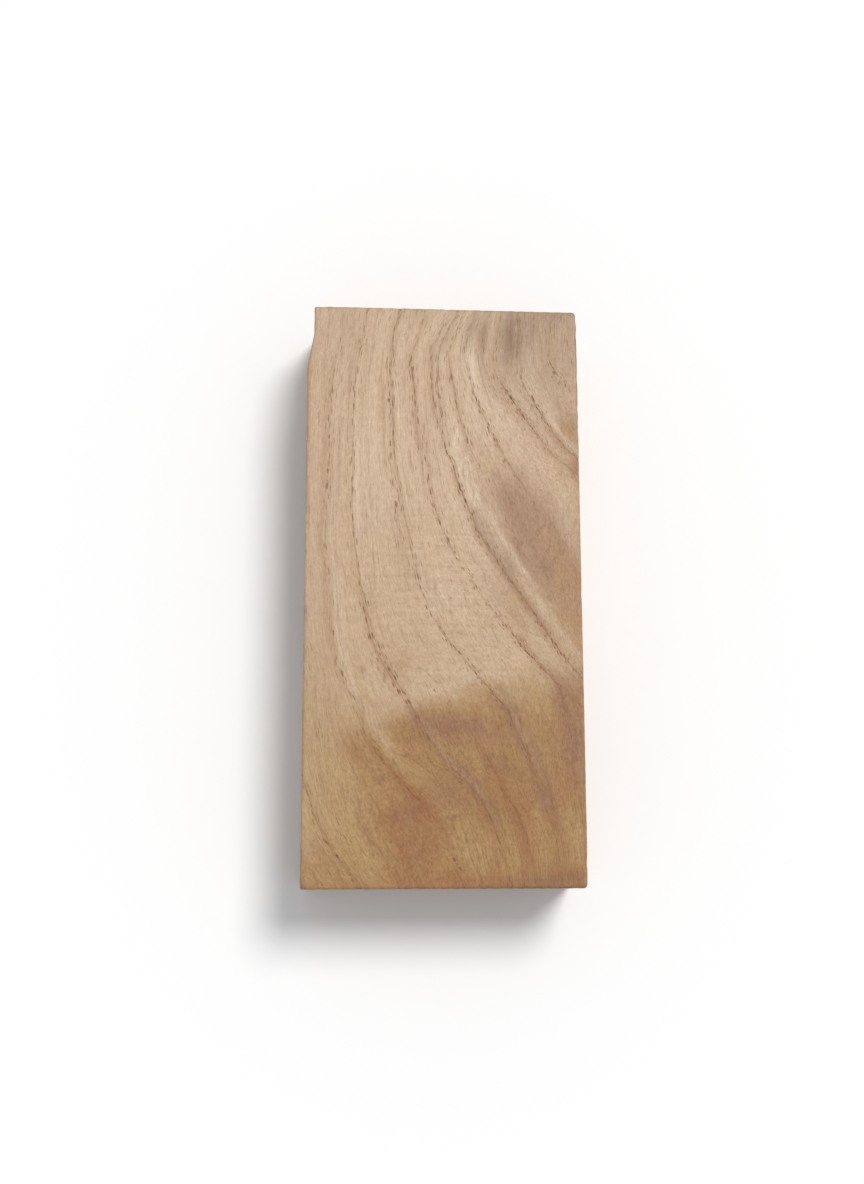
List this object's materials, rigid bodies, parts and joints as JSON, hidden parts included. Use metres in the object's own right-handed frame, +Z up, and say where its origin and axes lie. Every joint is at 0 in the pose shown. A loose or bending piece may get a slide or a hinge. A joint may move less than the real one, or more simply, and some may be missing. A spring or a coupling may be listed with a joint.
{
  "type": "hardwood blank",
  "caption": "Rectangular block of solid sawn hardwood with eased edges and a shallow saw notch at one corner, for carving, turning or joinery.",
  "frame": {"origin": "middle of the underside, the face that the blank rests on", "axes": "+Z up through the thickness, +Y along the length towards the notched end, +X across the width away from the notch"},
  "size_m": [0.071, 0.15, 0.025],
  "materials": {
    "hardwood": "bare sanded open-pored hardwood, matt, cream-tan sapwood turning golden brown at one end"
  },
  "bodies": {
    "root": {"wood_blank": "hardwood"}
  },
  "joints": []
}
